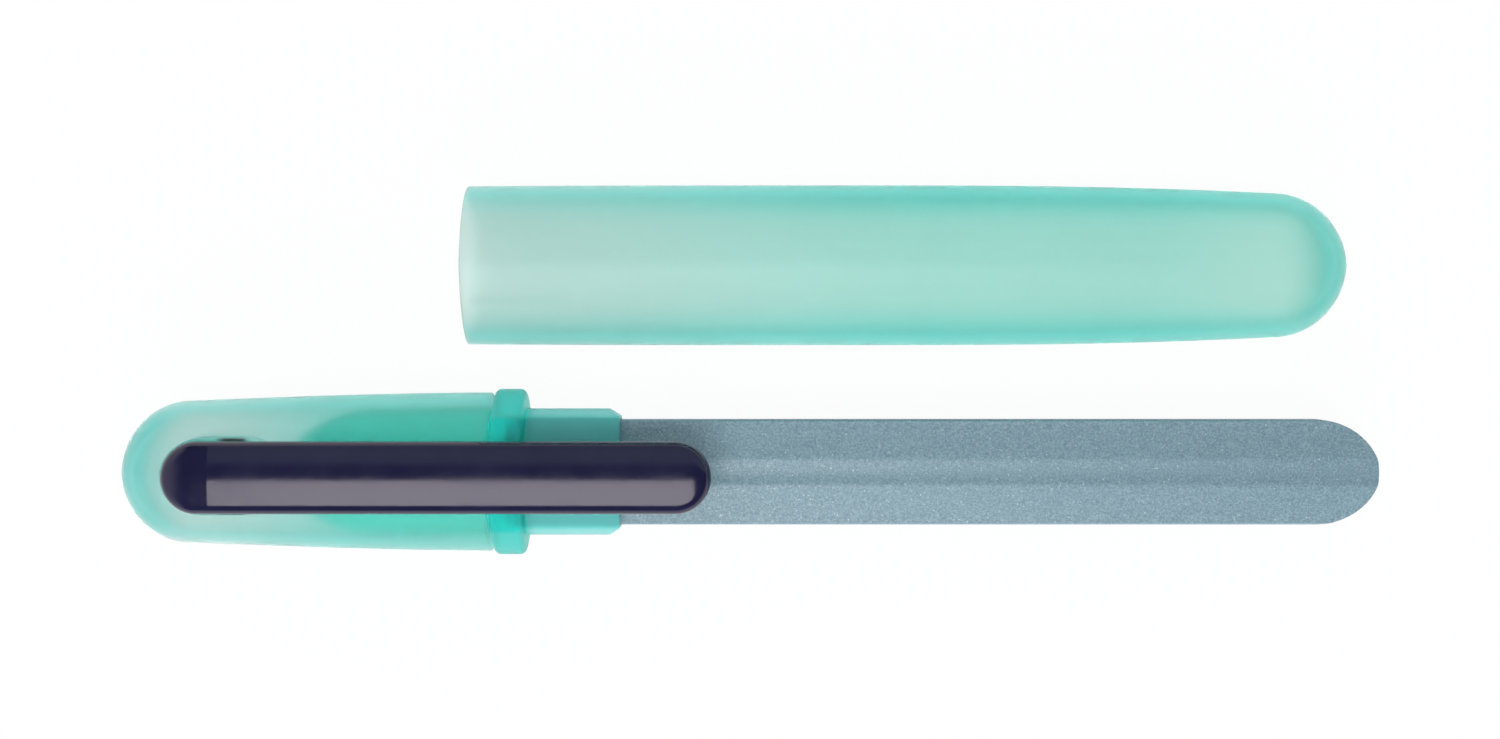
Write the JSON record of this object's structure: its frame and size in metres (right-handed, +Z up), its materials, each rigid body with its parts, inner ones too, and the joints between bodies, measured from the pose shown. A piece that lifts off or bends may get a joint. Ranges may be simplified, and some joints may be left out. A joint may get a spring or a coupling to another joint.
{
  "type": "ceramic nail file",
  "caption": "Pocket nail file: a grooved ceramic blade held in a hollow translucent handle by a neck insert, with a spring pocket clip and a pull-off cap lying beside it.",
  "frame": {"origin": "on the surface that the object lies on, under the middle of the bounding box of the file and its cap", "axes": "+X along the file from the handle's round end to the blade's tip, +Y from the file to the cap beside it, +Z up"},
  "size_m": [0.14, 0.0414, 0.0148],
  "materials": {
    "handle_mint": "frosted translucent moulding",
    "insert_teal": "translucent moulding",
    "blade_ceramic": "fine abrasive grain",
    "clip_navy": "glossy moulding",
    "cap_mint": "frosted translucent moulding"
  },
  "bodies": {
    "handle": {"handle_shell": "handle_mint", "neck_insert": "insert_teal", "file_blade": "blade_ceramic"},
    "clip": {"pocket_clip": "clip_navy"},
    "cap": {"cap": "cap_mint"}
  },
  "joints": [
    {"name": "cap_slide", "type": "slide", "parent": "handle", "child": "cap", "axis": [1, 0, 0], "range_m": [0, 0.095]},
    {"name": "clip_flex", "type": "hinge", "parent": "handle", "child": "clip", "pos_m": [-0.0627, -0.01141, 0.01295], "axis": [0, -1, 0], "range_deg": [0, 1.8], "stiffness_Nm_per_rad": 3}
  ]
}
